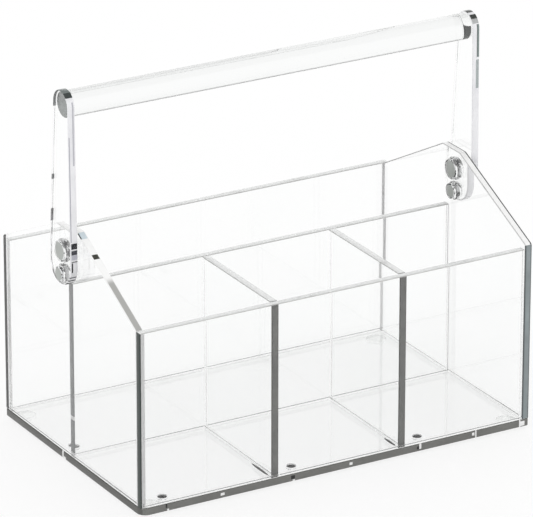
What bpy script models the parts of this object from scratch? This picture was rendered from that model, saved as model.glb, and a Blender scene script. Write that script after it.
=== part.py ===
"""Clear flatware caddy: an open tray of bonded sheet with a rigid carry handle.

Metres, X along the tray, Y from the front (negative) to the back, Z up.
The origin lies on the surface that the feet stand on, below the middle of the tray.
Heights named here are measured from the underside of the base panel.

The four walls meet as a pinwheel: each one covers the edge of the next, going
front, left end, back, right end. So the two end panels are one part, turned half
round, and so are the overlaps at the corners.
"""
import math

import bmesh
import bpy
from mathutils import Matrix, Vector

# Sheet
SHEET = 0.0045
BOND_GAP = 0.0003
EDGE_EASE = 0.0004

# Tray
TRAY_LENGTH = 0.2540
TRAY_DEPTH = 0.1625
RIM_HEIGHT = 0.1100
BASE_CORNER_RADIUS = 0.0055
WALL_CORNER_RADIUS = 0.0010

# End panels: the shoulder rises above the rim, the peak above the middle between the pins
SHOULDER_RISE = 0.0027
SHOULDER_RADIUS = 0.0022
PEAK_COVER = 0.0200
PEAK_FLAT = 0.0190
PEAK_CORNER_RADIUS = 0.0020

# Dividers
FRONT_COMPARTMENTS = 3
DIVIDER_SHIFT = 0.0018
CENTRE_DIVIDER_Y = 0.0031

# Drain holes in the base
DRAIN_DIAMETER = 0.0052
DRAIN_FRONT_INSET = 0.0122
DRAIN_SIDE_INSET = 0.0143
REAR_DRAIN_SIDE_INSET = 0.0117
REAR_DRAIN_Y = 0.0155

# Feet
FOOT_DIAMETER = 0.0120
FOOT_HEIGHT = 0.0017
FOOT_INSET = 0.0102
FOOT_EDGE_RADIUS = 0.0006

# Handle: the rims are the sheet that an arm keeps round the rod's end and below the lower pin
ROD_DIAMETER = 0.0153
ROD_HEIGHT = 0.2196
ROD_Y = -0.0033
ARM_TOP_RIM = 0.00095
ARM_FOOT_RIM = 0.0015
ARM_FOOT_HEIGHT = 0.1250
ARM_FOOT_Y = -0.0006
ARM_STANDOFF = 0.0018

# Pins that fix each arm to its end panel, and the rings round them
UPPER_PIN_DIAMETER = 0.0112
LOWER_PIN_DIAMETER = 0.0085
LOWER_PIN_PROUD = 0.0009
PIN_CLEARANCE = 0.0002
PIN_CHAMFER = 0.0004
SPACER_RIM = 0.0011
SPACER_GAP = 0.00125

# Facets of round forms
ROD_FACETS = 64
PIN_FACETS = 40
HOLE_FACETS = 40
FOOT_FACETS = 40
CORNER_STEPS = 6
ARM_ROUND_STEPS = 28

# How far a cutter runs past the sheet that it cuts
CUT_OVERRUN = 0.0010

# A vertex closer than this to a plane lies on it
PLANE_TOLERANCE = 0.00001
WELD_DISTANCE = 0.000001

BASE_UNDERSIDE = FOOT_HEIGHT + BOND_GAP
FLOOR_TOP = BASE_UNDERSIDE + SHEET
PANEL_FOOT = FLOOR_TOP + BOND_GAP
RIM = BASE_UNDERSIDE + RIM_HEIGHT

OUTER_X = TRAY_LENGTH / 2
OUTER_Y = TRAY_DEPTH / 2
INNER_X = OUTER_X - SHEET
INNER_Y = OUTER_Y - SHEET
ARM_INNER_X = OUTER_X + ARM_STANDOFF
ARM_OUTER_X = ARM_INNER_X + SHEET

PIN_DIAMETERS = {"upper": UPPER_PIN_DIAMETER, "lower": LOWER_PIN_DIAMETER}
PIN_PROUD = {"upper": 0.0, "lower": LOWER_PIN_PROUD}
# The two rings of an arm stand SPACER_GAP apart, and that spaces the pins
PIN_PITCH = sum(PIN_DIAMETERS.values()) / 2 + 2 * (PIN_CLEARANCE + SPACER_RIM) + SPACER_GAP
PIN_HEIGHTS = {
    "upper": BASE_UNDERSIDE + ARM_FOOT_HEIGHT + PIN_PITCH / 2,
    "lower": BASE_UNDERSIDE + ARM_FOOT_HEIGHT - PIN_PITCH / 2,
}
ARM_TOP_RADIUS = ROD_DIAMETER / 2 + ARM_TOP_RIM
ARM_FOOT_RADIUS = (PIN_PITCH + LOWER_PIN_DIAMETER) / 2 + ARM_FOOT_RIM
SIDES = {"left": -1, "right": 1}

# Turns a drawing's first axis to Y, its second to Z and its thickness to X
YZ_PLANE = Matrix(((0, 0, 1, 0), (1, 0, 0, 0), (0, 1, 0, 0), (0, 0, 0, 1)))

CLEAR_SHEET = (0.93, 0.95, 0.94, 1.0)
CLEAR_ROD = (0.90, 0.92, 0.92, 1.0)
CLEAR_PIN = (0.80, 0.82, 0.82, 1.0)
CLEAR_FOOT = (0.88, 0.90, 0.89, 1.0)
POLISHED = 0.05
RUBBERY = 0.35


def clear_scene():
    """Empty the file of the objects that it opened with."""
    for old in list(bpy.data.objects):
        bpy.data.objects.remove(old, do_unlink=True)


def new_collection(name):
    """Make a collection under the scene."""
    group = bpy.data.collections.new(name)
    bpy.context.scene.collection.children.link(group)
    return group


def finish_material(obj, colour, roughness):
    """Give the object a Principled material of its own."""
    material = bpy.data.materials.new(obj.name + "_finish")
    material.use_nodes = True
    shader = material.node_tree.nodes["Principled BSDF"]
    shader.inputs["Base Color"].default_value = colour
    shader.inputs["Roughness"].default_value = roughness
    shader.inputs["Metallic"].default_value = 0.0
    obj.data.materials.clear()
    obj.data.materials.append(material)


def object_from_bmesh(name, shape, group):
    """Store a bmesh in a new mesh object of the collection."""
    mesh = bpy.data.meshes.new(name)
    shape.to_mesh(mesh)
    shape.free()
    obj = bpy.data.objects.new(name, mesh)
    group.objects.link(obj)
    return obj


def edge_lies(edge, axis, value):
    """Tell whether both ends of an edge lie on the plane axis = value."""
    return all(abs(v.co[axis] - value) < PLANE_TOLERANCE for v in edge.verts)


def round_edges(shape, radius, steps, wanted):
    """Round the edges of a bmesh that the test picks."""
    edges = [edge for edge in shape.edges if wanted(edge)]
    bmesh.ops.bevel(
        shape,
        geom=edges,
        offset=radius,
        offset_type="OFFSET",
        segments=steps,
        profile=0.5,
        affect="EDGES",
        clamp_overlap=True,
    )


def box_between(low, high):
    """A closed box between two corners, as a bmesh."""
    shape = bmesh.new()
    size = Vector(high) - Vector(low)
    middle = (Vector(high) + Vector(low)) / 2
    place = Matrix.Translation(middle) @ Matrix.Diagonal(size).to_4x4()
    bmesh.ops.create_cube(shape, size=1, matrix=place)
    return shape


def open_top_panel(name, low, high, group):
    """An upright panel whose two long top edges are eased, as they are polished."""
    shape = box_between(low, high)
    round_edges(shape, EDGE_EASE, 1, lambda edge: edge_lies(edge, 2, high[2]))
    return object_from_bmesh(name, shape, group)


def arc(centre, radius, start, end, steps):
    """Points of an arc in a plane, both ends included; angles in radians."""
    points = []
    for step in range(steps + 1):
        angle = start + (end - start) * step / steps
        points.append((centre[0] + radius * math.cos(angle), centre[1] + radius * math.sin(angle)))
    return points


def rounded_outline(corners, radii, steps):
    """Round each corner of a closed polygon with an arc tangent to both its sides."""
    points = []
    count = len(corners)
    for index, corner in enumerate(corners):
        here = Vector(corner)
        if radii[index] == 0:
            points.append(tuple(here))
            continue
        before = (Vector(corners[index - 1]) - here).normalized()
        after = (Vector(corners[(index + 1) % count]) - here).normalized()
        half = before.angle(after) / 2
        centre = here + (before + after).normalized() * radii[index] / math.sin(half)
        reach = radii[index] / math.tan(half)
        first = here + before * reach - centre
        last = here + after * reach - centre
        start = math.atan2(first.y, first.x)
        turn = first.angle_signed(last)
        points += arc(tuple(centre), radii[index], start, start - turn, steps)
    return points


def sheet_from_outline(name, outline, x_middle, group):
    """Cut a closed outline of (y, z) points from the sheet, square to X at x_middle."""
    curve = bpy.data.curves.new(name + "_outline", "CURVE")
    curve.dimensions = "2D"
    curve.fill_mode = "BOTH"
    curve.extrude = SHEET / 2
    spline = curve.splines.new("POLY")
    spline.points.add(len(outline) - 1)
    for point, (y, z) in zip(spline.points, outline):
        point.co = (y, z, 0, 1)
    spline.use_cyclic_u = True
    flat = bpy.data.objects.new(name + "_outline", curve)
    group.objects.link(flat)
    flat.matrix_world = Matrix.Translation((x_middle, 0, 0)) @ YZ_PLANE
    bpy.context.view_layer.update()
    evaluated = flat.evaluated_get(bpy.context.evaluated_depsgraph_get())
    mesh = bpy.data.meshes.new_from_object(evaluated)
    mesh.name = name
    shape = bmesh.new()
    shape.from_mesh(mesh)
    bmesh.ops.remove_doubles(shape, verts=shape.verts, dist=WELD_DISTANCE)
    bmesh.ops.recalc_face_normals(shape, faces=shape.faces)
    shape.to_mesh(mesh)
    shape.free()
    solid = bpy.data.objects.new(name, mesh)
    group.objects.link(solid)
    solid.matrix_world = flat.matrix_world.copy()
    bpy.data.objects.remove(flat, do_unlink=True)
    return solid


def turned(name, profile, facets, place, group):
    """Turn a profile of (radius, height) points about the local Z axis.

    The profile runs down the outer side, from the top to the bottom.
    """
    mesh = bpy.data.meshes.new(name)
    points = [(radius, 0, height) for radius, height in profile]
    closed = profile[0][0] > 0
    edges = [(index, index + 1) for index in range(len(points) - 1)]
    if closed:
        edges.append((len(points) - 1, 0))
    mesh.from_pydata(points, edges, [])
    obj = bpy.data.objects.new(name, mesh)
    group.objects.link(obj)
    screw = obj.modifiers.new("turned", "SCREW")
    screw.axis = "Z"
    screw.steps = facets
    screw.render_steps = facets
    screw.use_merge_vertices = True
    screw.merge_threshold = WELD_DISTANCE
    screw.use_smooth_shade = True
    obj.matrix_world = place
    return obj


def drill(target, name, diameter, length, place, cutters):
    """Cut a round hole through the target with a named cutter."""
    shape = bmesh.new()
    bmesh.ops.create_cone(
        shape,
        cap_ends=True,
        segments=HOLE_FACETS,
        radius1=diameter / 2,
        radius2=diameter / 2,
        depth=length,
    )
    cutter = object_from_bmesh(name, shape, cutters)
    cutter.matrix_world = place
    cutter.hide_render = True
    cutter.display_type = "WIRE"
    cut = target.modifiers.new(name, "BOOLEAN")
    cut.operation = "DIFFERENCE"
    cut.solver = "EXACT"
    cut.object = cutter
    return cutter


def along_x(x, y, z):
    """A place whose local Z axis points along +X."""
    return Matrix.Translation((x, y, z)) @ Matrix.Rotation(math.radians(90), 4, "Y")


def equal_bays():
    """Middles along X of the sheets that would part the front into equal bays."""
    sheets = FRONT_COMPARTMENTS - 1
    bay = (2 * INNER_X - sheets * SHEET) / FRONT_COMPARTMENTS
    return [-INNER_X + (index + 1) * (bay + SHEET) - SHEET / 2 for index in range(sheets)]


def divider_positions():
    """Middles along X of the front dividers: the left bay is the widest, the right the narrowest."""
    return [x + DIVIDER_SHIFT for x in equal_bays()]


def drain_places():
    """Centres of the drain holes: one to each front bay and one to the rear bay."""
    walls = [-INNER_X] + [x + SHEET / 2 for x in equal_bays()]
    front = [(wall + DRAIN_SIDE_INSET, -OUTER_Y + DRAIN_FRONT_INSET) for wall in walls]
    rear = (-OUTER_X + REAR_DRAIN_SIDE_INSET, REAR_DRAIN_Y)
    return front + [rear]


def make_base(parts, cutters):
    """The floor sheet: it lies under every wall, and its corners are rounded."""
    low = (-OUTER_X, -OUTER_Y, BASE_UNDERSIDE)
    high = (OUTER_X, OUTER_Y, FLOOR_TOP)
    shape = box_between(low, high)
    round_edges(
        shape,
        BASE_CORNER_RADIUS,
        CORNER_STEPS,
        lambda edge: abs(edge.verts[0].co.z - edge.verts[1].co.z) > SHEET / 2,
    )
    round_edges(
        shape,
        EDGE_EASE,
        1,
        lambda edge: edge_lies(edge, 2, BASE_UNDERSIDE),
    )
    base = object_from_bmesh("base_panel", shape, parts)
    for index, (x, y) in enumerate(drain_places()):
        place = Matrix.Translation((x, y, BASE_UNDERSIDE + SHEET / 2))
        drill(base, "drain_cutter_%d" % index, DRAIN_DIAMETER, SHEET + 2 * CUT_OVERRUN, place, cutters)
    finish_material(base, CLEAR_SHEET, POLISHED)


def make_front_and_back(parts):
    """The long walls: the front covers the left end panel's edge, the back the right one's."""
    low = (-OUTER_X, -OUTER_Y, PANEL_FOOT)
    high = (INNER_X - BOND_GAP, -INNER_Y, RIM)
    for name, turn in (("front_panel", 0), ("back_panel", math.pi)):
        shape = box_between(low, high)
        round_edges(
            shape,
            WALL_CORNER_RADIUS,
            CORNER_STEPS // 2,
            lambda edge: edge_lies(edge, 0, -OUTER_X) and edge_lies(edge, 1, -OUTER_Y),
        )
        round_edges(shape, EDGE_EASE, 1, lambda edge: edge_lies(edge, 2, RIM))
        half_turn = Matrix.Rotation(turn, 3, "Z")
        bmesh.ops.rotate(shape, cent=(0, 0, 0), matrix=half_turn, verts=shape.verts)
        wall = object_from_bmesh(name, shape, parts)
        finish_material(wall, CLEAR_SHEET, POLISHED)


def make_centre_divider(parts):
    """The long divider parts the rear bay from the front bays."""
    reach = INNER_X - BOND_GAP
    low = (-reach, CENTRE_DIVIDER_Y - SHEET / 2, PANEL_FOOT)
    high = (reach, CENTRE_DIVIDER_Y + SHEET / 2, RIM)
    divider = open_top_panel("centre_divider", low, high, parts)
    finish_material(divider, CLEAR_SHEET, POLISHED)


def make_front_dividers(parts):
    """The short dividers run from the front wall to the long divider."""
    front_y = -INNER_Y + BOND_GAP
    back_y = CENTRE_DIVIDER_Y - SHEET / 2 - BOND_GAP
    for name, x in zip(("front_divider_left", "front_divider_right"), divider_positions()):
        low = (x - SHEET / 2, front_y, PANEL_FOOT)
        high = (x + SHEET / 2, back_y, RIM)
        divider = open_top_panel(name, low, high, parts)
        finish_material(divider, CLEAR_SHEET, POLISHED)


def end_panel_outline():
    """The end wall seen along X: two slopes rise to a short flat peak over the pins.

    On the side of negative y a long wall covers its edge, and the slope starts level
    with that wall's rim. On the other side it runs past the long wall to the corner.
    The peak stands PEAK_COVER above the middle between the two pins.
    """
    covered = -INNER_Y + BOND_GAP
    shoulder = RIM + SHOULDER_RISE
    peak = BASE_UNDERSIDE + ARM_FOOT_HEIGHT + PEAK_COVER
    corners = [
        (covered, PANEL_FOOT),
        (OUTER_Y, PANEL_FOOT),
        (OUTER_Y, shoulder),
        (PEAK_FLAT / 2, peak),
        (-PEAK_FLAT / 2, peak),
        (covered, RIM),
    ]
    radii = [0, 0, SHOULDER_RADIUS, PEAK_CORNER_RADIUS, PEAK_CORNER_RADIUS, 0]
    return rounded_outline(corners, radii, CORNER_STEPS // 2)


def make_end_panels(parts, cutters):
    """Both end walls, one outline turned half round, each drilled for its two pins."""
    for side, sign in SIDES.items():
        outline = [(-sign * y, z) for y, z in end_panel_outline()]
        middle = sign * (OUTER_X - SHEET / 2)
        panel = sheet_from_outline(side + "_end_panel", outline, middle, parts)
        for level, height in PIN_HEIGHTS.items():
            bore = PIN_DIAMETERS[level] + 2 * PIN_CLEARANCE
            name = "%s_panel_%s_cutter" % (side, level)
            drill(panel, name, bore, SHEET + 2 * CUT_OVERRUN, along_x(middle, 0, height), cutters)
        finish_material(panel, CLEAR_SHEET, POLISHED)


def arm_outline():
    """The arm seen along X: two round ends joined by their outer tangents."""
    top = Vector((ROD_Y, BASE_UNDERSIDE + ROD_HEIGHT))
    foot = Vector((ARM_FOOT_Y, BASE_UNDERSIDE + ARM_FOOT_HEIGHT))
    span = top - foot
    lean = math.atan2(span.y, span.x)
    spread = math.acos((ARM_FOOT_RADIUS - ARM_TOP_RADIUS) / span.length)
    upper = arc(tuple(top), ARM_TOP_RADIUS, lean - spread, lean + spread, ARM_ROUND_STEPS)
    far_side = lean - spread + 2 * math.pi
    lower = arc(tuple(foot), ARM_FOOT_RADIUS, lean + spread, far_side, ARM_ROUND_STEPS)
    return upper + lower


def make_arms(parts, cutters):
    """The two handle arms stand clear of the end panels and are drilled for the pins."""
    for side, sign in SIDES.items():
        middle = sign * (ARM_INNER_X + SHEET / 2)
        arm = sheet_from_outline(side + "_handle_arm", arm_outline(), middle, parts)
        for level, height in PIN_HEIGHTS.items():
            bore = PIN_DIAMETERS[level] + 2 * PIN_CLEARANCE
            name = "%s_arm_%s_cutter" % (side, level)
            drill(arm, name, bore, SHEET + 2 * CUT_OVERRUN, along_x(middle, 0, height), cutters)
        finish_material(arm, CLEAR_SHEET, POLISHED)


def make_rod(parts):
    """The grip: a round rod bonded end-on between the arms."""
    reach = ARM_INNER_X - BOND_GAP
    shape = bmesh.new()
    bmesh.ops.create_cone(
        shape,
        cap_ends=True,
        segments=ROD_FACETS,
        radius1=ROD_DIAMETER / 2,
        radius2=ROD_DIAMETER / 2,
        depth=2 * reach,
    )
    rod = object_from_bmesh("handle_rod", shape, parts)
    rod.matrix_world = along_x(0, ROD_Y, BASE_UNDERSIDE + ROD_HEIGHT)
    rod.data.shade_smooth()
    rod.data.set_sharp_from_angle(angle=math.radians(30))
    finish_material(rod, CLEAR_ROD, POLISHED)


def make_pins(parts):
    """Round pins through each arm and its end panel, with a chamfer at both ends."""
    for side, sign in SIDES.items():
        for level, height in PIN_HEIGHTS.items():
            radius = PIN_DIAMETERS[level] / 2
            outer = ARM_OUTER_X + PIN_PROUD[level]
            length = outer - INNER_X
            profile = [
                (0, length),
                (radius - PIN_CHAMFER, length),
                (radius, length - PIN_CHAMFER),
                (radius, PIN_CHAMFER),
                (radius - PIN_CHAMFER, 0),
                (0, 0),
            ]
            start = along_x(INNER_X, 0, height)
            place = start if sign > 0 else Matrix.Rotation(math.pi, 4, "Z") @ start
            pin = turned("%s_%s_pin" % (side, level), profile, PIN_FACETS, place, parts)
            finish_material(pin, CLEAR_PIN, POLISHED)


def make_spacers(parts):
    """A ring round each pin holds the arm off its end panel."""
    for side, sign in SIDES.items():
        for level, height in PIN_HEIGHTS.items():
            inner = PIN_DIAMETERS[level] / 2 + PIN_CLEARANCE
            outer = inner + SPACER_RIM
            low = BOND_GAP
            high = ARM_STANDOFF - BOND_GAP
            profile = [(inner, high), (outer, high), (outer, low), (inner, low)]
            start = along_x(OUTER_X, 0, height)
            place = start if sign > 0 else Matrix.Rotation(math.pi, 4, "Z") @ start
            ring = turned("%s_%s_spacer" % (side, level), profile, PIN_FACETS, place, parts)
            finish_material(ring, CLEAR_PIN, POLISHED)


def make_feet(parts):
    """Four clear bumpers under the corners of the base."""
    radius = FOOT_DIAMETER / 2
    middle = (radius - FOOT_EDGE_RADIUS, FOOT_EDGE_RADIUS)
    bottom_round = arc(middle, FOOT_EDGE_RADIUS, 0, -math.pi / 2, CORNER_STEPS)
    profile = [(0, FOOT_HEIGHT), (radius, FOOT_HEIGHT)] + bottom_round + [(0, 0)]
    for side, x_sign in SIDES.items():
        for row, y_sign in (("front", -1), ("rear", 1)):
            x = x_sign * (OUTER_X - FOOT_INSET)
            y = y_sign * (OUTER_Y - FOOT_INSET)
            place = Matrix.Translation((x, y, 0))
            foot = turned("foot_%s_%s" % (row, side), profile, FOOT_FACETS, place, parts)
            finish_material(foot, CLEAR_FOOT, RUBBERY)


def main():
    """Build the caddy."""
    clear_scene()
    parts = new_collection("flatware_caddy")
    cutters = new_collection("cutters")
    make_base(parts, cutters)
    make_front_and_back(parts)
    make_end_panels(parts, cutters)
    make_centre_divider(parts)
    make_front_dividers(parts)
    make_arms(parts, cutters)
    make_rod(parts)
    make_pins(parts)
    make_spacers(parts)
    make_feet(parts)
    bpy.context.view_layer.update()


main()
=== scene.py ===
"""Looks of a clear flatware caddy: bonded sheet, a pinned handle and a plain studio.

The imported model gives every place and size. Each sheet is made again here with the
small rounds that polishing leaves, so that its rims catch the light, and its edges
get a finish of their own: a cut edge is greyer than the face of a clear sheet.
"""
import functools
import math

import bpy
import numpy as np
from bpy.props import FloatProperty, FloatVectorProperty, IntProperty, PointerProperty
from bpy.types import Operator, Panel, PropertyGroup
from mathutils import Matrix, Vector
from mathutils.geometry import tessellate_polygon


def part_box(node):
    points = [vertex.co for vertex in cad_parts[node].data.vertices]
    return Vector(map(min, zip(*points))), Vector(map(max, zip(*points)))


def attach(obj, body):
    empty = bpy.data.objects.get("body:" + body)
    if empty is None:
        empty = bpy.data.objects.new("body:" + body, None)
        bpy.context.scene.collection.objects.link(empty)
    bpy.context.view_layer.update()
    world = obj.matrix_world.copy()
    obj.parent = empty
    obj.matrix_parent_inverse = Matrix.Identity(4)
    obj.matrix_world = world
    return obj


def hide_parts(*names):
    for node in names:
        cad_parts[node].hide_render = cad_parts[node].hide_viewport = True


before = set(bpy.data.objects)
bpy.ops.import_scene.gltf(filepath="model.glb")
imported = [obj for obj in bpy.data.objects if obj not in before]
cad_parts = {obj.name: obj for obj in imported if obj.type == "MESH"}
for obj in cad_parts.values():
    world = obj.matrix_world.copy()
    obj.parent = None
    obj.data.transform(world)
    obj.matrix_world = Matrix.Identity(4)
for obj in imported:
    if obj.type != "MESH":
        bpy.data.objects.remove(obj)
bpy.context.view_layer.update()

bl_info = {
    "name": "Clear flatware caddy",
    "version": (1, 0, 0),
    "blender": (4, 5, 0),
    "location": "3D View > Sidebar > Caddy",
    "description": "Dresses the caddy: clear sheets with polished edges, handle, pins, feet and a plain studio",
    "category": "Object",
}

BODY = "root"

MILLIMETRE = 0.001
ACRYLIC = 1.49  # refractive index
PIN_CLEARANCE = 0.0002
SHARP_ANGLE = math.radians(35)

# Facets of the rounds
BASE_CORNER_STEPS = 8
END_CORNER_STEPS = 5
ARM_STEPS = 40
PIN_EASE_POINTS = 4
RUN_ROWS, RUN_ACROSS = 24, 9

# Parts of a side's outward direction that tell which way the side faces
MOSTLY, NEARLY_ALL, RISING = 0.7, 0.9, 0.3

# Fixed values of the finishes
INSIDE_TINT = (0.97, 0.975, 0.973)
BONDED_TINT, BONDED_HAZE = (0.985, 0.988, 0.986), (0.97, 0.975, 0.97)
JOINT_WHITE, JOINT_SHADE = (1.0, 1.0, 1.0), (0.95, 0.955, 0.95)
BUMPER_TINT, BUMPER_HAZE = (0.86, 0.87, 0.86), (0.78, 0.79, 0.78)
POLISHED, SOFT, DULL = 0.12, 0.2, 0.3  # roughness
STREAK_DEPTH = 0.35
SWIRL_SCALE = 330.0
CLOUD_SHARES = (0.93, 1.07)
# Painted shade along the borders of a cut edge
NARROW_BORDER = 0.1
WIDE_BORDER_DEPTH = 0.4
NODE_SPACING = 190
# Sockets of a colour mix
FIRST_COLOUR, SECOND_COLOUR, MIXED_COLOUR = 6, 7, 2

# Marks, painted shade and painted reflections on the edges: spans along X, Y and Z in millimetres, and colour
ALL = (-200.0, 200.0)
CHIP = (0.9, 0.9, 0.9)
SAW_MARK = (0.03, 0.03, 0.03)
FRONT_SIDE = (-100.0, -70.0)
LEFT_SIDE = (-140.0, -115.0)
BASE_CHIPS = (
    ((-111.6, -110.6), FRONT_SIDE, (4.0, 6.6), SAW_MARK),
    ((-110.6, -109.4), FRONT_SIDE, (1.9, 3.35), CHIP),
    ((-76.5, -74.0), FRONT_SIDE, (3.6, 5.15), CHIP),
    ((-31.1, -28.5), FRONT_SIDE, (3.35, 5.6), SAW_MARK),
    ((-30.0, -28.5), FRONT_SIDE, (1.9, 3.1), CHIP),
    ((7.2, 9.2), FRONT_SIDE, (3.6, 5.15), CHIP),
    ((51.8, 53.4), FRONT_SIDE, (3.35, 5.15), SAW_MARK),
    ((53.4, 54.8), FRONT_SIDE, (3.35, 6.6), CHIP),
    ((88.8, 90.4), FRONT_SIDE, (3.8, 5.6), CHIP),
    ((91.0, 91.8), FRONT_SIDE, (1.9, 6.6), CHIP),
    ((120.7, 121.6), FRONT_SIDE, (1.9, 6.6), CHIP),
    ((121.6, 124.4), FRONT_SIDE, (2.7, 5.5), CHIP),
)
BASE_LEFT_CHIPS = (
    (LEFT_SIDE, (10.5, 12.1), (1.9, 6.6), CHIP),
    (LEFT_SIDE, (7.9, 10.5), (1.9, 3.6), CHIP),
)
DIVIDER_END_MARKS = (
    (LEFT_SIDE, ALL, (6.0, 8.4), CHIP),
    (LEFT_SIDE, ALL, (8.4, 28.5), (0.080, 0.087, 0.092)),
    (LEFT_SIDE, ALL, (28.5, 30.8), CHIP),
)
FOOT_EDGE = ((-132.7, -128.5), (-20.0, -10.0))
# Painted reflections and painted shade on the left arm's edges: dark bars where the pins show through the front edge, a
# dark top and light streaks
LEFT_ARM_PAINTED_REFLECTIONS = (
    (ALL, (-7.0, 20.0), (226.5, 232.0), (0.20, 0.225, 0.22)),
    (ALL, (2.0, 20.0), (218.2, 232.0), (0.115, 0.13, 0.13)),
    (ALL, (-9.8, -7.0), (227.2, 232.0), (0.065, 0.075, 0.073)),
    (ALL, (3.0, 20.0), (173.9, 177.0), (0.03, 0.04, 0.045)),
    (ALL, (3.0, 20.0), (152.8, 156.0), (0.02, 0.02, 0.022)),
    (ALL, (3.0, 20.0), (148.5, 152.8), (0.28, 0.27, 0.30)),
    ((-133.0, -132.4), (-20.0, -8.0), (143.0, 205.0), (0.40, 0.40, 0.45)),
    ((-130.6, -129.6), (-20.0, -8.0), (188.0, 225.0), (0.50, 0.50, 0.54)),
    (*FOOT_EDGE, (138.9, 142.3), (0.008, 0.010, 0.016)),
    (*FOOT_EDGE, (135.5, 138.1), (0.042, 0.042, 0.058)),
    (*FOOT_EDGE, (132.6, 135.4), (0.55, 0.55, 0.62)),
    (*FOOT_EDGE, (131.1, 131.6), (0.03, 0.03, 0.03)),
    ((-132.7, -131.8), (-20.0, -10.0), (125.0, 130.8), (0.01, 0.01, 0.012)),
    (ALL, (-13.5, -6.0), (113.0, 117.9), (0.03, 0.03, 0.035)),
    (ALL, (-13.5, -9.0), (118.9, 120.0), (0.02, 0.02, 0.025)),
    (ALL, (-13.5, -9.0), (121.2, 122.1), (0.16, 0.16, 0.18)),
)
# Painted reflections and painted shade on the right arm's edges: a dark top, and light and dark streaks down the front
# edge
RIGHT_ARM_PAINTED_REFLECTIONS = (
    ((129.0, 132.9), (-5.3, 1.5), (226.0, 232.0), (0.065, 0.068, 0.062)),
    ((129.0, 134.0), (-9.6, -7.2), (226.5, 232.0), (0.060, 0.065, 0.060)),
    ((129.0, 133.0), (-11.2, -9.6), (224.5, 228.0), (0.45, 0.46, 0.46)),
    ((131.5, 134.0), (-20.0, -8.0), (204.8, 224.5), (0.20, 0.245, 0.238)),
    ((131.5, 131.9), (-20.0, -8.0), (204.8, 224.5), (0.06, 0.075, 0.072)),
    ((131.0, 132.9), (-20.0, -8.0), (186.0, 203.3), (0.38, 0.42, 0.42)),
)
# Painted shade and painted reflections on the end walls' slopes: dark lines, and a blue-grey patch where the arm stands
# in front of the left slope
LEFT_SLOPE_PAINTED_SHADE = (
    (ALL, (-28.3, -25.2), (130.0, 150.0), (0.06, 0.06, 0.05)),
    ((-126.6, -122.8), (-14.4, -9.9), (140.0, 150.0), (0.66, 0.75, 0.80)),
)
LEFT_SLOPE_CORNER_PAINTED_SHADE = (((-128.0, -126.0), (-14.1, -10.1), (140.0, 150.0), (0.02, 0.02, 0.02)),)
RIGHT_SLOPE_PAINTED_SHADE = (((126.0, 127.1), ALL, (112.0, 150.0), (0.10, 0.10, 0.10)),)
# Painted shade on the right rod end: dark in its low part, up to a line that falls to the rear, with a darker band
# along that line
RIGHT_ROD_END_PAINTED_SHADE = tuple(
    (ALL, (y, y + 1.0), (200.0, 222.9 - 0.33 * (y + 10.9) + rise), shade)
    for rise, shade in ((0.8, (0.010, 0.012, 0.011)), (0.0, (0.030, 0.036, 0.034)))
    for y in np.arange(-12.0, 6.0)
)

# Slots of a sheet piece, in this order
FACE, CUT_END, RIM, BONDED, ARRIS, CEMENTED, HOLE = range(7)


def node_box(name):
    """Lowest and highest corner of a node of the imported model, as arrays."""
    low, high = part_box(name)
    return np.array(low), np.array(high)


SHEET = float(node_box("front_panel")[1][1] - node_box("front_panel")[0][1])


# Settings


def tone(name, description, default):
    """A setting for a colour, its values from 0 to 1."""
    return FloatVectorProperty(
        name=name, description=description, default=default, subtype="COLOR", size=3, min=0.0, max=1.0
    )


def number(name, description, default, low, high, unit="NONE"):
    """A setting for a number between two limits."""
    return FloatProperty(name=name, description=description, default=default, min=low, max=high, unit=unit)


def whole(name, description, default, low, high):
    """A setting for a whole number between two limits."""
    return IntProperty(name=name, description=description, default=default, min=low, max=high)


def angle_of(name, description, degrees):
    """A setting for an angle."""
    return FloatProperty(name=name, description=description, default=math.radians(degrees), subtype="ANGLE")


def metres(name, default):
    """A setting for a length of one piece."""
    return FloatProperty(name=name, description=name, default=default, unit="LENGTH")


def factor(name, default):
    """A setting for a plain factor of one piece."""
    return FloatProperty(name=name, description=name, default=default)


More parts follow.
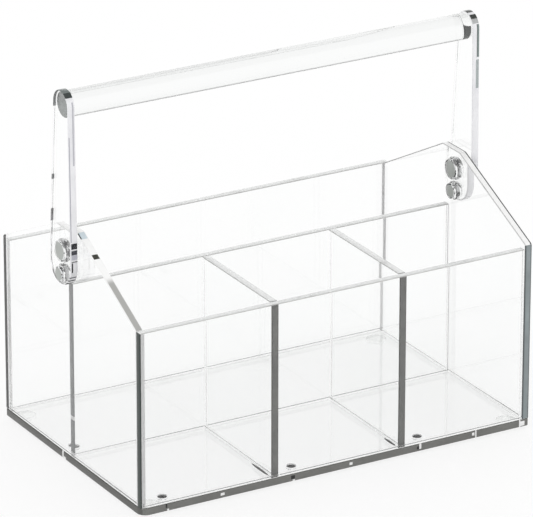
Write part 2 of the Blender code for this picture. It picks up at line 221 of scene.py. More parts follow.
class CaddySheetSettings(PropertyGroup):
    """Sizes and colours of the clear sheet and of its edges."""

    arris: number(
        "Arris round", "Radius that polishing leaves along every edge of a sheet", 0.00045, 0.00005, 0.001, "LENGTH"
    )
    arris_steps: whole("Arris steps", "Facets across each arris", 3, 1, 8)
    refraction: number("Refraction", "Refractive index of clear acrylic", ACRYLIC, 1.0, 2.0)
    tint: tone("Sheet tint", "Colour that one face of clear sheet lets through", (0.996, 0.998, 0.997))
    smudge_tint: tone("Smudge tint", "Colour that a faintly smudged patch lets through", (0.988, 0.992, 0.990))
    # Painted shade: the greys of the exposed cut edges stand partly for their sawn finish and partly for shade, and
    # their darker borders are painted shade
    cut_colour: tone("Cut edge", "Middle grey of an exposed cut edge", (0.20, 0.20, 0.19))
    # Painted shade: the long walls' free ends are dark grey, partly from their sawn finish and partly as shade
    corner_end_grey_and_shade: tone(
        "Corner end", "Dark grey of the long walls' ends, where a bond darkens them", (0.045, 0.058, 0.054)
    )
    middle_end_colour: tone("Long divider end", "Grey of the long divider's left end", (0.125, 0.135, 0.140))
    rim_colour: tone("Rim", "Colour of a polished rim", (0.86, 0.87, 0.865))
    rim_shade: tone("Rim shade", "Colour of a rim where it was polished least", (0.42, 0.42, 0.41))
    arris_colour: tone("Arris", "Colour of the eased corners along a rim", (0.30, 0.30, 0.295))
    slope_colour: tone("Slope", "Colour of the end walls' slopes", (1.0, 1.0, 0.995))
    # Painted shade: the left slope's grey lower part, and the dark line along the right slope's outer corner
    slope_shade: tone("Slope shade", "Colour of the left slope's lower part", (0.46, 0.46, 0.445))
    line_colour: tone("Slope line", "Colour of the right slope's outer corner", (0.10, 0.10, 0.10))
    end_edge_colour: tone("Right front edge", "Colour of the right end wall's front edge", (0.31, 0.35, 0.36))
    seam_colour: tone("Cement run", "Colour of the run of cement along a short divider's foot", (0.03, 0.03, 0.03))
    hole_colour: tone("Drilled hole", "Colour of a drain hole's wall", (0.10, 0.10, 0.10))
    cut_shade: tone("Cut edge shade", "Dark grey along the borders of an exposed cut edge", (0.11, 0.11, 0.106))


class CaddyHandleSettings(PropertyGroup):
    """Finish of the rod, arms and pins."""

    rod_facets: whole("Rod facets", "Facets round the rod", 96, 16, 256)
    pin_facets: whole("Pin facets", "Facets round a pin, a ring or a hole", 48, 12, 128)
    arm_rim_colour: tone("Arm edge", "Colour of an arm's polished edge", (0.86, 0.86, 0.88))
    arm_rim_shade: tone("Arm edge shade", "Colour of an arm's edge where it was polished least", (0.70, 0.70, 0.74))
    rod_tint: tone("Rod tint", "Colour that the rod lets through", (0.965, 0.972, 0.968))
    # Painted light and painted shadow of a pin's side, laid in swirls
    pin_painted_light: tone("Pin light", "Light colour of a pin's side", (0.95, 0.96, 0.965))
    pin_painted_shadow: tone("Pin shadow", "Dark of the swirls on a pin's side", (0.010, 0.012, 0.018))
    pin_end_colour: tone("Pin end", "Colour of a pin's sawn end", (0.42, 0.44, 0.42))
    rod_end_colour: tone("Rod end", "Colour of the rod's sawn end", (0.275, 0.301, 0.292))


class CaddyStageSettings(PropertyGroup):
    """Floor, light and camera."""

    floor_size: number("Floor size", "Width of the square floor", 24.0, 1.0, 100.0, "LENGTH")
    floor_colour: tone("Floor colour", "Colour of the plain floor", (1.0, 1.0, 1.0))
    floor_glow: number("Floor glow", "Share of the floor's brightness that no shadow takes away", 0.82, 0.0, 1.0)
    sky_strength: number("Sky strength", "Brightness of the even studio light", 1.0, 0.0, 4.0)
    ceiling_strength: number("Ceiling strength", "Brightness straight above, as clear pieces show it", 0.1, 0.0, 4.0)
    ceiling_start: number(
        "Ceiling start", "Height of a direction, 0 level and 1 straight up, where the ceiling starts", 0.45, -1.0, 1.0
    )
    ceiling_end: number("Ceiling end", "Height of a direction where the ceiling is at its dimmest", 0.7, -1.0, 1.0)
    azimuth: angle_of("Camera azimuth", "Direction the camera looks in, from +Y towards +X", 29.985)
    elevation: angle_of("Camera elevation", "How far the camera looks down", 22.018)
    roll: angle_of("Camera roll", "Turn of the camera about its own line of sight", 0.0706)
    place: FloatVectorProperty(
        name="Camera place",
        description="Where the camera stands",
        default=(-1.4222, -2.4643, 1.2532),
        subtype="TRANSLATION",
        size=3,
    )
    light_bounces: whole("Light bounces", "Turns that light may take inside the clear sheets", 64, 4, 1024)
    lens: number("Lens", "Focal length in millimetres on a sensor 36 mm wide", 363.6, 10.0, 1000.0)


# Shape functions


def wall_profile(low, high, round_radius, steps):
    """Cross-section of a sheet's edge, from its low face over the edge to its high face.

    Points are (inset from the outline, height across the sheet). Each arris is a
    quarter circle: inset = r (1 - sin a), height = low + r (1 - cos a), a from 0 to 90
    degrees, and the same mirrored at the high face.
    """
    angle = np.linspace(0.0, math.pi / 2, steps + 1)
    inset = round_radius * (1 - np.sin(angle))
    rise = round_radius * (1 - np.cos(angle))
    lower = np.stack([inset, low + rise], axis=1)
    upper = np.stack([inset[::-1], high - rise[::-1]], axis=1)
    return np.concatenate([lower, upper])


def offset_directions(outline):
    """Miter direction at each corner of a closed outline, pointing inwards.

    With n1 and n2 the inward normals of the two sides that meet, the direction is
    (n1 + n2) / (1 + n1.n2), which keeps both sides parallel when a point moves along it.
    """
    side = np.roll(outline, -1, axis=0) - outline
    side /= np.linalg.norm(side, axis=1, keepdims=True)
    normal = np.stack([-side[:, 1], side[:, 0]], axis=1)
    before = np.roll(normal, 1, axis=0)
    return (before + normal) / (1 + np.sum(before * normal, axis=1, keepdims=True))


def arc(centre, radius, turn):
    """Points of a circle at the angles turn: centre + radius (cos turn, sin turn)."""
    return np.array(centre) + radius * np.stack([np.cos(turn), np.sin(turn)], axis=1)


def circle(centre, radius, facets):
    """A closed circle, counter-clockwise."""
    return arc(centre, radius, np.arange(facets) * (2 * math.pi / facets))


def ring_faces(count, rows, first, inwards):
    """Quads between neighbouring rows of a grid that closes round its path."""
    row = np.arange(rows - 1)[:, None]
    step = np.arange(count)[None, :]
    after = (step + 1) % count
    a = first + row * count + step
    b = first + row * count + after
    c = first + (row + 1) * count + after
    d = first + (row + 1) * count + step
    order = (a, b, c, d) if not inwards else (d, c, b, a)
    return np.stack(order, axis=-1).reshape(-1, 4)


def sheet_solid(outline, holes, low, high, settings, hole_facets, finishes):
    """A flat sheet with eased edges, as points, faces, slots and smooth flags.

    The wall profile is carried along the outline, and along each hole with its
    direction turned round: point = outline + inset x miter direction, at each height.
    The two flat faces fill what the eased outlines leave.
    """
    profile = wall_profile(low, high, settings.arris, settings.arris_steps)
    rows = len(profile)
    flat_strip = np.arange(rows - 1) == settings.arris_steps
    loops = [(outline, 1.0, finishes)]
    for centre, radius in holes:
        rim = circle(centre, radius, hole_facets)
        loops.append((rim, -1.0, np.full(hole_facets, HOLE)))
    points, faces, slots, smooth = [], [], [], []
    caps = [[], []]
    first = 0
    for path, sign, wall_slots in loops:
        direction = offset_directions(path) * sign
        count = len(path)
        grid = path[None] + profile[:, :1, None] * direction[None]
        height = np.broadcast_to(profile[:, 1][:, None, None], (rows, count, 1))
        points.append(np.concatenate([grid, height], axis=2).reshape(-1, 3))
        quads = ring_faces(count, rows, first, sign < 0)
        faces += quads.tolist()
        strip_slots = np.where(~flat_strip[:, None] & (wall_slots == RIM)[None], ARRIS, wall_slots[None])
        strip_slots = np.where(~flat_strip[:, None] & (wall_slots == HOLE)[None], FACE, strip_slots)
        slots += strip_slots.reshape(-1).tolist()
        smooth += [True] * len(quads)
        caps[0].append((first, path + profile[0, 0] * direction))
        caps[1].append((first + (rows - 1) * count, path + profile[-1, 0] * direction))
        first += rows * count
    for side, loop_set in enumerate(caps):
        index = np.concatenate([start + np.arange(len(path)) for start, path in loop_set])
        flat = [[(x, y, 0.0) for x, y in path] for start, path in loop_set]
        fill = index[np.array(tessellate_polygon(flat))]
        area = np.concatenate([path for start, path in loop_set])
        place = np.empty((first, 2))
        place[index] = area
        a, b, c = (place[fill[:, k]] for k in range(3))
        turn = (b[:, 0] - a[:, 0]) * (c[:, 1] - a[:, 1]) - (b[:, 1] - a[:, 1]) * (c[:, 0] - a[:, 0])
        wanted = 1.0 if side else -1.0
        fill = np.where((turn * wanted < 0)[:, None], fill[:, ::-1], fill)
        faces += fill.tolist()
        slots += [FACE] * len(fill)
        smooth += [False] * len(fill)
    return np.concatenate(points), faces, slots, smooth


def with_poles(grid, poles, count, inwards):
    """Close a grid of rings at both ends with fans to two poles, and give points and faces."""
    rows = len(grid) // count
    quads = ring_faces(count, rows, 0, inwards).tolist()
    step = np.arange(count)
    after = (step + 1) % count
    last = (rows - 1) * count
    first_pole = np.full(count, len(grid))
    if inwards:
        step, after = after, step
    first_fan = np.stack([first_pole, after, step], axis=1).tolist()
    last_fan = np.stack([first_pole + 1, last + step, last + after], axis=1).tolist()
    return np.concatenate([grid, poles]), quads + first_fan + last_fan


def turned_solid(profile, facets):
    """A profile of (radius, height) points turned about Z, closed at both poles.

    Point = (r cos t, r sin t, h). The profile starts and ends at radius zero.
    """
    ring = circle((0, 0), 1.0, facets)
    grid = [(radius * x, radius * y, height) for radius, height in profile[1:-1] for x, y in ring]
    poles = np.array([[0, 0, profile[0][1]], [0, 0, profile[-1][1]]])
    return with_poles(np.array(grid), poles, facets, False)


def run_solid(start, length, half_width, height):
    """A thin run of cement lying along Y, pointed at both ends and flat below.

    With t from 0 to 1 along it and a from 0 to 180 degrees across, and
    swell = sqrt(sin(pi t)): point = start + (w swell cos a, length t, h swell sin a).
    """
    rows, across = RUN_ROWS, RUN_ACROSS
    t = np.linspace(0, 1, rows + 2)[1:-1, None]
    turn = np.linspace(0, math.pi, across)[None]
    swell = np.sqrt(np.sin(math.pi * t))
    grid = np.stack(
        [half_width * swell * np.cos(turn), np.broadcast_to(length * t, (rows, across)), height * swell * np.sin(turn)],
        axis=2,
    ).reshape(-1, 3)
    points, faces = with_poles(grid, [[0, 0, 0], [0, length, 0]], across, True)
    return points + np.array(start), faces


def rounded_corners(corners, radii, steps):
    """Round the corners of a closed polygon, each with an arc tangent to both its sides."""
    pieces = []
    corners = np.array(corners, float)
    for index, radius in enumerate(radii):
        here = corners[index]
        if radius == 0:
            pieces.append(here[None])
            continue
        before = corners[index - 1] - here
        after = corners[(index + 1) % len(corners)] - here
        before /= np.linalg.norm(before)
        after /= np.linalg.norm(after)
        half = math.acos(float(before @ after)) / 2
        bisector = (before + after) / np.linalg.norm(before + after)
        centre = here + bisector * radius / math.sin(half)
        first = here + before * radius / math.tan(half) - centre
        last = here + after * radius / math.tan(half) - centre
        start = math.atan2(first[1], first[0])
        sweep = math.atan2(first[0] * last[1] - first[1] * last[0], float(first @ last))
        pieces.append(arc(centre, radius, start + sweep * np.linspace(0, 1, steps + 1)))
    return np.concatenate(pieces)


# Meshes and pieces


def piece_from_mesh(name, points, faces, materials, slots, smooth, nodes):
    """Store points and faces in a piece that stands for its nodes and rides on the body.

    Without smooth flags every face is smooth.
    """
    mesh = bpy.data.meshes.new(name)
    mesh.from_pydata(points.tolist(), [], faces)
    for material in materials:
        mesh.materials.append(material)
    mesh.polygons.foreach_set("material_index", np.array(slots, np.int32))
    mesh.update()
    mesh.validate()
    mesh.set_sharp_from_angle(angle=SHARP_ANGLE)
    mesh.polygons.foreach_set("use_smooth", np.array(smooth or [True] * len(faces), bool))
    piece = bpy.data.objects.new(name, mesh)
    bpy.context.scene.collection.objects.link(piece)
    if nodes:
        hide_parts(*nodes)
    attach(piece, BODY)
    return piece


def sheet_piece(name, node, across, outline, finish_of, materials, holes=()):
    """Make one clear sheet. The test finish_of gives each side of the outline its slot.

    The outline is drawn in the two axes that follow the one across the sheet, as
    (Y, Z), (Z, X) or (X, Y), and its sides are told apart by their outward normals.
    """
    settings = bpy.context.scene.caddy_sheet
    facets = bpy.context.scene.caddy_handle.pin_facets
    axis = "xyz".index(across)
    low, high = node_box(node)
    side = np.roll(outline, -1, axis=0) - outline
    outward = np.stack([side[:, 1], -side[:, 0]], axis=1)
    outward /= np.linalg.norm(outward, axis=1, keepdims=True)
    finishes = np.array([finish_of(normal) for normal in outward])
    points, faces, slots, smooth = sheet_solid(outline, holes, low[axis], high[axis], settings, facets, finishes)
    points = np.roll(points, axis + 1, axis=1)
    return piece_from_mesh(name, points, faces, materials, slots, smooth, [node])


def bar_size(node):
    """Radius and length of a round bar that lies along X."""
    low, high = node_box(node)
    return (high[2] - low[2]) / 2, high[0] - low[0]


def along_x(points, node):
    """Lay a solid that was turned about Z along X, in the place of its node."""
    low, high = node_box(node)
    middle = (low + high) / 2
    return np.roll(points, 1, axis=1) + [low[0], middle[1], middle[2]]


def dress_node(name, material):
    """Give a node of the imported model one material, and leave its mesh as it is."""
    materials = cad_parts[name].data.materials
    materials.clear()
    materials.append(material)


def rectangle(node, across):
    """The outline of a plain sheet, counter-clockwise, drawn as sheet_piece wants it."""
    axis = "xyz".index(across)
    (left, bottom, _), (right, top, _) = np.roll(node_box(node), -axis - 1, axis=1)
    return np.array([[left, bottom], [right, bottom], [right, top], [left, top]])


# Materials


def set_values(node, values):
    """Set a node's inputs by their names."""
    for label, value in values.items():
        node.inputs[label].default_value = value


class Graph:
    """Small helper that adds and links the nodes of one material, group or world."""

    def __init__(self, tree):
        self.tree = tree
        self.column = 0

    def add(self, kind, **properties):
        """Add a node and set its properties."""
        node = self.tree.nodes.new(kind)
        node.location = (self.column * NODE_SPACING, 0)
        self.column += 1
        for key, value in properties.items():
            setattr(node, key, value)
        return node

    def join(self, source, target):
        """Link an output socket to an input socket."""
        self.tree.links.new(source, target)

    def feed(self, target, source):
        """Link an input to an output, or set it where a plain value is given."""
        if isinstance(source, bpy.types.NodeSocket):
            self.join(source, target)
        else:
            target.default_value = source

    def place(self):
        """Object coordinates."""
        return self.add("ShaderNodeTexCoord").outputs["Object"]

    def part(self, vector, axis):
        """One of a vector's X, Y and Z."""
        node = self.add("ShaderNodeSeparateXYZ")
        self.join(vector, node.inputs["Vector"])
        return node.outputs[axis]

    def maths(self, operation, *sources, **properties):
        """One step of arithmetic on outputs or plain numbers."""
        node = self.add("ShaderNodeMath", operation=operation, **properties)
        for target, source in zip(node.inputs, sources):
            self.feed(target, source)
        return node.outputs[0]

    def rescale(self, source, start, end, low=0.0, high=1.0, smooth=False):
        """Bring start..end to low..high, and hold both ends."""
        node = self.add("ShaderNodeMapRange", interpolation_type="SMOOTHSTEP" if smooth else "LINEAR")
        set_values(node, {"From Min": start, "From Max": end, "To Min": low, "To Max": high})
        self.join(source, node.inputs["Value"])
        return node.outputs["Result"]

    def noise(self, place, scale, detail, roughness=0.5, distortion=0.0):
        """Cloudy noise between 0 and 1."""
        node = self.add("ShaderNodeTexNoise")
        self.feed(node.inputs["Scale"], scale)
        set_values(node, {"Detail": detail, "Roughness": roughness, "Distortion": distortion})
        self.join(place, node.inputs["Vector"])
        return node.outputs["Fac"]

    def blend(self, share, first, second):
        """The first colour where share is 0, and the second where it is 1."""
        node = self.add("ShaderNodeMix", data_type="RGBA")
        for socket, colour in ((FIRST_COLOUR, first), (SECOND_COLOUR, second)):
            linked = isinstance(colour, bpy.types.NodeSocket)
            self.feed(node.inputs[socket], colour if linked else (*colour, 1.0))
        self.join(share, node.inputs["Factor"])
        return node.outputs[MIXED_COLOUR]

    def show(self, share, first, second):
        """Finish a surface with the first shader where share is 0, and the second where it is 1."""
        both = self.add("ShaderNodeMixShader")
        for target, source in zip(both.inputs, (share, first, second)):
            self.join(source, target)
        self.join(both.outputs["Shader"], self.tree.nodes["Material Output"].inputs["Surface"])


def new_material(name, values):
    """A material, its graph, and its shader with these values."""
    material = bpy.data.materials.new(name)
    material.use_nodes = True
    shader = material.node_tree.nodes["Principled BSDF"]
    set_values(shader, values)
    return material, Graph(material.node_tree), shader


def made_once(build):
    """Use the material of that name where it has been built already."""

    @functools.wraps(build)
    def found_or_built(name, *values, **options):
        return bpy.data.materials.get(name) or build(name, *values, **options)

    return found_or_built


def group_of(name, inputs, output, fill):
    """A node group with these inputs and one number as its output, filled once."""
    if name in bpy.data.node_groups:
        return bpy.data.node_groups[name]
    tree = bpy.data.node_groups.new(name, "ShaderNodeTree")
    for label, kind in inputs:
        tree.interface.new_socket(label, in_out="INPUT", socket_type=kind)
    tree.interface.new_socket(output, in_out="OUTPUT", socket_type="NodeSocketFloat")
    graph = Graph(tree)
    result = fill(graph, graph.add("NodeGroupInput").outputs)
    graph.join(result, graph.add("NodeGroupOutput").inputs[output])
    return tree


def smudge_group():
    """Group: mask of faint hand smudges on a clear surface."""

    def fill(graph, given):
        clouds = graph.noise(graph.place(), given["Patch size"], 3.0, 0.55)
        return graph.rescale(clouds, 0.48, 0.72)

    return group_of("faint_smudges", [("Patch size", "NodeSocketFloat")], "Smudges", fill)


def patch_group():
    """Group: mask of a box in Object coordinates.

    The distance from the centre is divided by the half size along each axis, and the
    mask is 1 where the largest of the three is below 1.
    """

    def fill(graph, given):
        place = graph.place()
        for operation, other in (("SUBTRACT", "Centre"), ("ABSOLUTE", None), ("DIVIDE", "Half size")):
            step = graph.add("ShaderNodeVectorMath", operation=operation)
            graph.join(place, step.inputs[0])
            if other:
                graph.join(given[other], step.inputs[1])
            place = step.outputs["Vector"]
        largest = graph.part(place, "X")
        for axis in "YZ":
            largest = graph.maths("MAXIMUM", largest, graph.part(place, axis))
        return graph.maths("LESS_THAN", largest, 1.0)

    inputs = [(label, "NodeSocketVector") for label in ("Centre", "Half size")]
    return group_of("patch_mask", inputs, "Mask", fill)


def lay_patches(graph, colour, patches):
    """Lay patches over a colour, and give the new colour and the mask of all patches.

    Each patch is (X span, Y span, Z span, colour), its spans in millimetres.
    """
    covered = None
    for x_span, y_span, z_span, shade in patches:
        low, high = np.array([x_span, y_span, z_span]).T * MILLIMETRE
        patch = graph.add("ShaderNodeGroup", node_tree=patch_group())
        set_values(patch, {"Centre": (low + high) / 2, "Half size": (high - low) / 2})
        mask = patch.outputs["Mask"]
        colour = graph.blend(mask, colour, shade)
        covered = mask if covered is None else graph.maths("MAXIMUM", covered, mask)
    return colour, covered


def clear_inside(graph):
    """The clear shader that an edge shows from inside its own sheet."""
    clear = graph.add("ShaderNodeBsdfPrincipled")
    set_values(clear, {"Base Color": (*INSIDE_TINT, 1.0), "Roughness": 0.0, "IOR": ACRYLIC, "Transmission Weight": 1.0})
    return clear.outputs["BSDF"]


def show_inside_as(graph, outside, inside, covered=None):
    """Use one shader on the outer side of a surface and the other on its inner side.

    Where the mask covered is 1, the outer shader shows from both sides.
    """
    side = graph.add("ShaderNodeNewGeometry").outputs["Backfacing"]
    if covered is not None:
        side = graph.maths("SUBTRACT", side, covered, use_clamp=True)
    graph.show(side, outside, inside)


@made_once
def clear_material(name, tint, smudge_tint, refraction, patch_size=14.0, rough=0.0, rough_smudge=0.02):
    """Clear acrylic: what passes is tinted a little more where a smudge lies, and blurred a little."""
    material, graph, shader = new_material(name, {"Transmission Weight": 1.0, "IOR": refraction})
    smudges = graph.add("ShaderNodeGroup", node_tree=smudge_group())
    smudges.inputs["Patch size"].default_value = patch_size
    mask = smudges.outputs["Smudges"]
    graph.join(graph.blend(mask, tint, smudge_tint), shader.inputs["Base Color"])
    graph.join(graph.rescale(mask, 0.0, 1.0, rough, rough_smudge), shader.inputs["Roughness"])
    return material


def border_shade_mask(graph, place, axis, low, high, border):
    """Mask of the painted shade along an edge: 1 along both borders and 0 in its middle.

    The height across the edge is the Object coordinate along its short axis, brought
    to -1..1 between low and high. The mask is a smooth step of its absolute value.
    """
    across = graph.maths("ABSOLUTE", graph.rescale(graph.part(place, axis.upper()), low, high, -1.0, 1.0))
    return graph.rescale(across, 1.0 - 2 * border, 1.0, smooth=True)


@made_once
def cut_edge_material(name, colour, shade, axis, low, high, border, patches, see_in):
    """A cut edge: grey, partly from its sawn finish and partly as painted shade, darker along both borders as painted
    shade, with fine saw streaks and chips.

    From inside the sheet it is clear, so it darkens no other piece, unless see_in is off.
    """
    values = {"IOR": ACRYLIC, "Roughness": 0.28, "Specular IOR Level": 0.25}
    material, graph, shader = new_material(name, values)
    place = graph.place()
    streaks = graph.rescale(graph.noise(place, 60.0, 4.0), 0.3, 0.7, 0.0, STREAK_DEPTH)
    darkened = graph.maths("MAXIMUM", border_shade_mask(graph, place, axis, low, high, border), streaks)
    finished, _ = lay_patches(graph, graph.blend(darkened, colour, shade), patches)
    graph.join(finished, shader.inputs["Base Color"])
    if see_in:
        show_inside_as(graph, shader.outputs["BSDF"], clear_inside(graph))
    return material


@made_once
def rim_material(name, colour, shade, roughness, clearness, shade_along=None, patches=(), see_in=False, spots=0.5):
    """A polished rim: milky, with spots that were polished less.

    With an axis, a start and an end given, the rim goes from its shade at start to its
    colour at end: a painted shade. Patches lay painted shade and painted reflections.
    With see_in it is clear from inside the sheet, except where a patch covers it.
    """
    values = {"IOR": ACRYLIC, "Roughness": roughness, "Transmission Weight": clearness}
    material, graph, shader = new_material(name, values)
    place = graph.place()
    worn_and_shaded = graph.rescale(graph.noise(place, 45.0, 3.0), 0.55, 0.75, 0.0, spots)
    if shade_along:
        axis, start, end = shade_along
        span = (min(start, end), max(start, end), float(start < end), float(start > end))
        worn_and_shaded = graph.maths("MAXIMUM", worn_and_shaded, graph.rescale(graph.part(place, axis), *span, smooth=True))
    finished, covered = lay_patches(graph, graph.blend(worn_and_shaded, colour, shade), patches)
    graph.join(finished, shader.inputs["Base Color"])
    if see_in:
        show_inside_as(graph, shader.outputs["BSDF"], clear_inside(graph), covered)
    return material


@made_once
def painted_swirl_material(name, light, dark):
    """The side of a pin in its bore: painted light and painted shadow in hard light and dark swirls."""
    material, graph, shader = new_material(name, {"Roughness": POLISHED})
    swirls = graph.noise(graph.place(), SWIRL_SCALE, 2.0, distortion=0.6)
    share = graph.rescale(swirls, 0.465, 0.480, smooth=True)
    graph.join(graph.blend(share, dark, light), shader.inputs["Base Color"])
    return material


@made_once
def end_material(name, colour, patches=()):
    """The sawn end of a rod or pin: an even grey, faintly clouded.

    With patches it shows in them only, and is clear elsewhere.
    """
    material, graph, shader = new_material(name, {"Roughness": 0.35, "Specular IOR Level": 0.2})
    clouds = graph.rescale(graph.noise(graph.place(), 120.0, 2.0), 0.3, 0.7)
    darker, lighter = ([share * c for c in colour] for share in CLOUD_SHARES)
    finished, covered = lay_patches(graph, graph.blend(clouds, darker, lighter), patches)
    graph.join(finished, shader.inputs["Base Color"])
    if covered is not None:
        graph.show(covered, clear_inside(graph), shader.outputs["BSDF"])
    return material


def end_slots(faces, facets, last=1):
    """Slots of a turned solid: 0 for its side, 1 for its first end and last for the other."""
    return [0] * (len(faces) - 2 * facets) + [1] * facets + [last] * facets


def sheet_materials():
    """The finishes that all sheets share, in slot order but without the cut end."""
    s = bpy.context.scene.caddy_sheet
    return [
        clear_material("clear_face", s.tint, s.smudge_tint, s.refraction),
        rim_material("polished_rim", s.rim_colour, s.rim_shade, POLISHED, 0.4),
        clear_material("bonded_edge", BONDED_TINT, BONDED_HAZE, s.refraction, 60.0, 0.0, 0.03),
        rim_material("eased_corner", [2 * c for c in s.arris_colour], s.arris_colour, SOFT, 0.3),
        rim_material("cemented_joint", JOINT_WHITE, JOINT_SHADE, DULL, 0.1),
        rim_material("drilled_hole", s.hole_colour, [0.6 * c for c in s.hole_colour], DULL, 0.0, see_in=True),
    ]


def in_slots(shared, cut, rim=None, hole=None, arris=None):
    """The shared finishes in slot order, with this sheet's own cut end, rim, holes and arris."""
    face, common_rim, bonded, common_arris, cemented, common_hole = shared
    return [face, cut, rim or common_rim, bonded, arris or common_arris, cemented, hole or common_hole]


def cut_for(name, node, axis, colour=None, patches=(), see_in=True, border=NARROW_BORDER):
    """The cut-edge finish of one sheet, its borders set to that sheet's own thickness."""
    s = bpy.context.scene.caddy_sheet
    low, high = node_box(node)
    k = "xyz".index(axis)
    middle = colour or s.cut_colour
    depth = s.cut_shade[0] / s.cut_colour[0] * (WIDE_BORDER_DEPTH if border > NARROW_BORDER else 1.0)
    return cut_edge_material(name, middle, [c * depth for c in middle], axis, low[k], high[k], border, patches, see_in)


# Operators


class CADDY_OT_base(Operator):
    """Make the floor sheet with its rounded corners and drain holes"""

    bl_idname = "caddy.base"
    bl_label = "Base sheet"

    corner: metres("Front left corner round", 0.0055)
    small_corner: metres("Other corners' round", 0.001)
    drain: metres("Drain diameter", 0.0052)
    drain_x: metres("Front drain from its bay's left side", 0.0143)
    drain_y: metres("Front drain from the front", 0.0122)
    rear_drain_x: metres("Rear drain from the left side", 0.0117)
    rear_drain_y: metres("Rear drain from the middle", 0.0155)
    # Painted shade: the base's left edge is darker than its front edge
    left_painted_shade: factor("Left edge depth", 0.66)

    def execute(self, context):
        left, front, _ = node_box("base_panel")[0]
        shared = sheet_materials()
        cut = cut_for("base_cut_edge", "base_panel", "z", patches=BASE_CHIPS)
        dark = [self.left_painted_shade * c for c in context.scene.caddy_sheet.cut_colour]
        left_cut = cut_for("base_left_cut_edge", "base_panel", "z", dark, BASE_LEFT_CHIPS)
        radii = [self.corner] + [self.small_corner] * 3
        outline = rounded_corners(rectangle("base_panel", "z"), radii, BASE_CORNER_STEPS)
        bay = (-2 * (left + SHEET) - 2 * SHEET) / 3
        walls = [left + SHEET + k * (bay + SHEET) for k in range(3)]
        holes = [((x + self.drain_x, front + self.drain_y), self.drain / 2) for x in walls]
        holes.append(((left + self.rear_drain_x, self.rear_drain_y), self.drain / 2))

        def finish(outward):
            return RIM if outward[0] < -MOSTLY else CUT_END

        materials = in_slots(shared, cut, left_cut, None, left_cut)
        sheet_piece("base_sheet", "base_panel", "z", outline, finish, materials, holes)
        return {"FINISHED"}


class CADDY_OT_walls(Operator):
    """Make the front and back walls"""

    bl_idname = "caddy.walls"
    bl_label = "Front and back walls"

    def execute(self, context):
        shared = sheet_materials()
        for node in ("front_panel", "back_panel"):
            low, high = node_box(node)
            free = -1 if low[0] < -high[0] else 1

            def finish(outward, free=free):
                if abs(outward[1]) > MOSTLY:
                    return CUT_END if outward[1] * free > 0 else BONDED
                return RIM if outward[0] > 0 else BONDED

            # The free end carries painted shade
            corner_end = context.scene.caddy_sheet.corner_end_grey_and_shade
            cut = cut_for(node + "_cut_end", node, "y", corner_end)
            name = node.replace("panel", "wall")
            sheet_piece(name, node, "y", rectangle(node, "y"), finish, in_slots(shared, cut))
        return {"FINISHED"}


class CADDY_OT_dividers(Operator):
    """Make the long divider and the two short ones"""

    bl_idname = "caddy.dividers"
    bl_label = "Dividers"

    left_run: metres("Left cement run", 0.0195)
    right_run: metres("Right cement run", 0.0125)
    run_width: metres("Run width", 0.0017)
    short_border: factor("Short dividers' border", 0.2)

    def execute(self, context):
        shared = sheet_materials()
        middle_colour = context.scene.caddy_sheet.middle_end_colour
        cut = cut_for("centre_divider_cut_end", "centre_divider", "y", middle_colour, DIVIDER_END_MARKS)
        outline = rectangle("centre_divider", "y")

        def long_finish(outward):
            if outward[0] > MOSTLY:
                return RIM
            return CUT_END if abs(outward[1]) > MOSTLY else BONDED

        sheet_piece("long_divider", "centre_divider", "y", outline, long_finish, in_slots(shared, cut))
        for node, run_length in (("front_divider_left", self.left_run), ("front_divider_right", self.right_run)):
            cut = cut_for(node + "_cut_end", node, "x", border=self.short_border)

            def finish(outward):
                if outward[1] > MOSTLY:
                    return RIM
                return CUT_END if outward[0] < -MOSTLY else BONDED

            name = node.replace("front", "short")
            sheet_piece(name, node, "x", rectangle(node, "x"), finish, in_slots(shared, cut))
            low = node_box(node)[0]
            floor_top = node_box("base_panel")[1][2]
            start = (low[0] - self.run_width / 2, low[1] + self.run_width, floor_top)
            points, faces = run_solid(start, run_length, self.run_width / 2, self.run_width / 3)
            colour = context.scene.caddy_sheet.seam_colour
            cement = rim_material("cement_run", colour, colour, SOFT, 0.0)
            name = node.replace("front_divider", "cement_run")
            piece_from_mesh(name, points, faces, [cement], [0] * len(faces), None, [])
        return {"FINISHED"}


